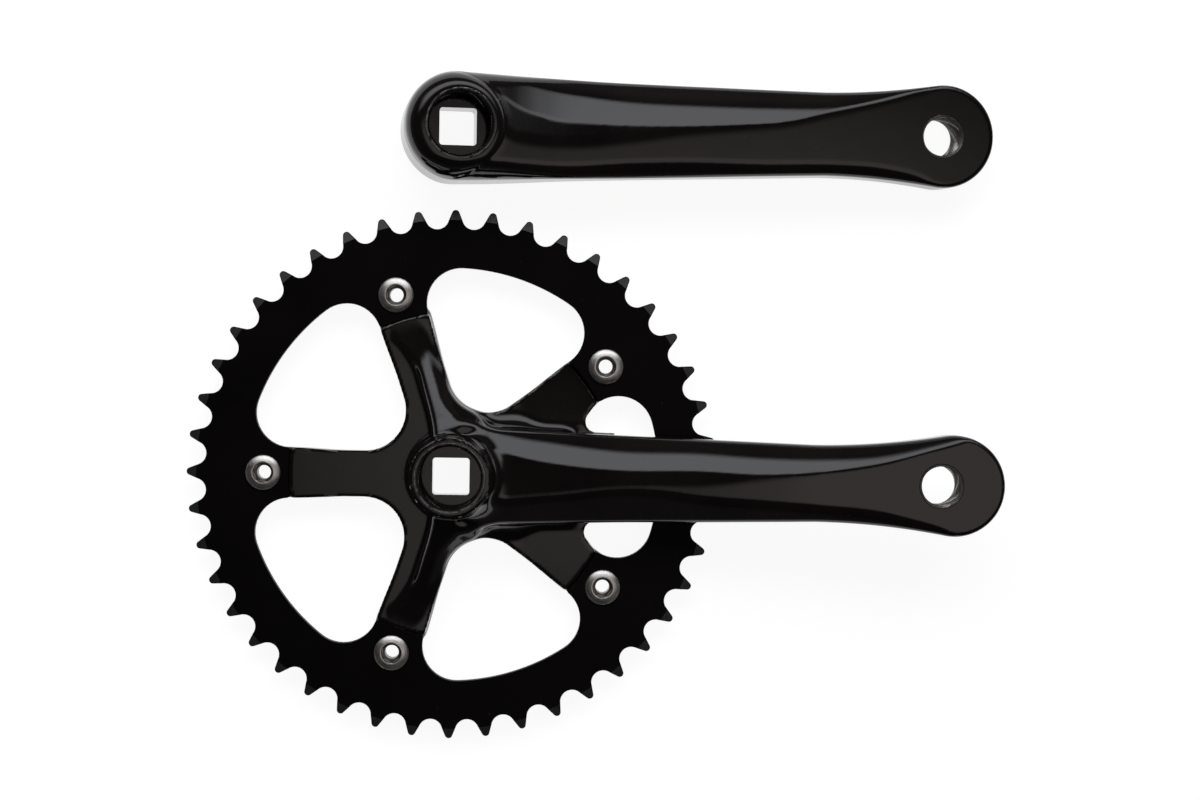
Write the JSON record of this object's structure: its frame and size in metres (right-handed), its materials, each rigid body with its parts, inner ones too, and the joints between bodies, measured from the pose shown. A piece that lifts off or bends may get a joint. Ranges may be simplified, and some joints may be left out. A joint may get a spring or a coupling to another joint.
{
  "type": "bicycle crankset",
  "caption": "Single-speed square-taper crankset: drive-side arm with forged spider and toothed chainring on silver bolts, and a loose left arm beside it.",
  "frame": {"origin": "on the drive-side spindle axis, at the inner face of the drive-side hub, which is also the plane that the crankset lies on", "axes": "+Z outwards along the drive-side spindle axis (up as the crankset lies), +X towards the drive-side pedal hole, +Y towards the left crank arm lying beside it"},
  "size_m": [0.278, 0.2289, 0.035],
  "materials": {
    "arm": "polished and gloss black anodised forging",
    "ring": "satin black anodised plate",
    "bolt": "turned and nickel plated steel",
    "nut": "turned and nickel plated steel"
  },
  "bodies": {
    "drive_side": {"right_crank_arm": "arm", "chainring": "ring"},
    "bolt_1": {"chainring_bolt_1": "bolt"},
    "nut_1": {"chainring_nut_1": "nut"},
    "bolt_2": {"chainring_bolt_2": "bolt"},
    "nut_2": {"chainring_nut_2": "nut"},
    "bolt_3": {"chainring_bolt_3": "bolt"},
    "nut_3": {"chainring_nut_3": "nut"},
    "bolt_4": {"chainring_bolt_4": "bolt"},
    "nut_4": {"chainring_nut_4": "nut"},
    "bolt_5": {"chainring_bolt_5": "bolt"},
    "nut_5": {"chainring_nut_5": "nut"},
    "left_side": {"left_crank_arm": "arm"}
  },
  "joints": [
    {"name": "bolt_1_out", "type": "slide", "parent": "drive_side", "child": "bolt_1", "axis": [0, 0, 1], "range_m": [0, 0.00525]},
    {"name": "nut_1_turn", "type": "hinge", "parent": "drive_side", "child": "nut_1", "pos_m": [-0.065, 0, 0], "axis": [0, 0, -1], "range_deg": [0, 2520]},
    {"name": "bolt_2_out", "type": "slide", "parent": "drive_side", "child": "bolt_2", "axis": [0, 0, 1], "range_m": [0, 0.00525]},
    {"name": "nut_2_turn", "type": "hinge", "parent": "drive_side", "child": "nut_2", "pos_m": [-0.02009, 0.06182, 0], "axis": [0, 0, -1], "range_deg": [0, 2520]},
    {"name": "bolt_3_out", "type": "slide", "parent": "drive_side", "child": "bolt_3", "axis": [0, 0, 1], "range_m": [0, 0.00525]},
    {"name": "nut_3_turn", "type": "hinge", "parent": "drive_side", "child": "nut_3", "pos_m": [0.05259, 0.03821, 0], "axis": [0, 0, -1], "range_deg": [0, 2520]},
    {"name": "bolt_4_out", "type": "slide", "parent": "drive_side", "child": "bolt_4", "axis": [0, 0, 1], "range_m": [0, 0.00525]},
    {"name": "nut_4_turn", "type": "hinge", "parent": "drive_side", "child": "nut_4", "pos_m": [0.05259, -0.03821, 0], "axis": [0, 0, -1], "range_deg": [0, 2520]},
    {"name": "bolt_5_out", "type": "slide", "parent": "drive_side", "child": "bolt_5", "axis": [0, 0, 1], "range_m": [0, 0.00525]},
    {"name": "nut_5_turn", "type": "hinge", "parent": "drive_side", "child": "nut_5", "pos_m": [-0.02009, -0.06182, 0], "axis": [0, 0, -1], "range_deg": [0, 2520]},
    {"name": "left_arm_lift", "type": "slide", "parent": "drive_side", "child": "left_side", "axis": [0, 0, 1], "range_m": [0, 0.06]}
  ],
  "couplings": [
    {"joint": "nut_1_turn", "follows": "bolt_1_out", "rad_per_m": 8377.6},
    {"joint": "nut_2_turn", "follows": "bolt_2_out", "rad_per_m": 8377.6},
    {"joint": "nut_3_turn", "follows": "bolt_3_out", "rad_per_m": 8377.6},
    {"joint": "nut_4_turn", "follows": "bolt_4_out", "rad_per_m": 8377.6},
    {"joint": "nut_5_turn", "follows": "bolt_5_out", "rad_per_m": 8377.6}
  ]
}
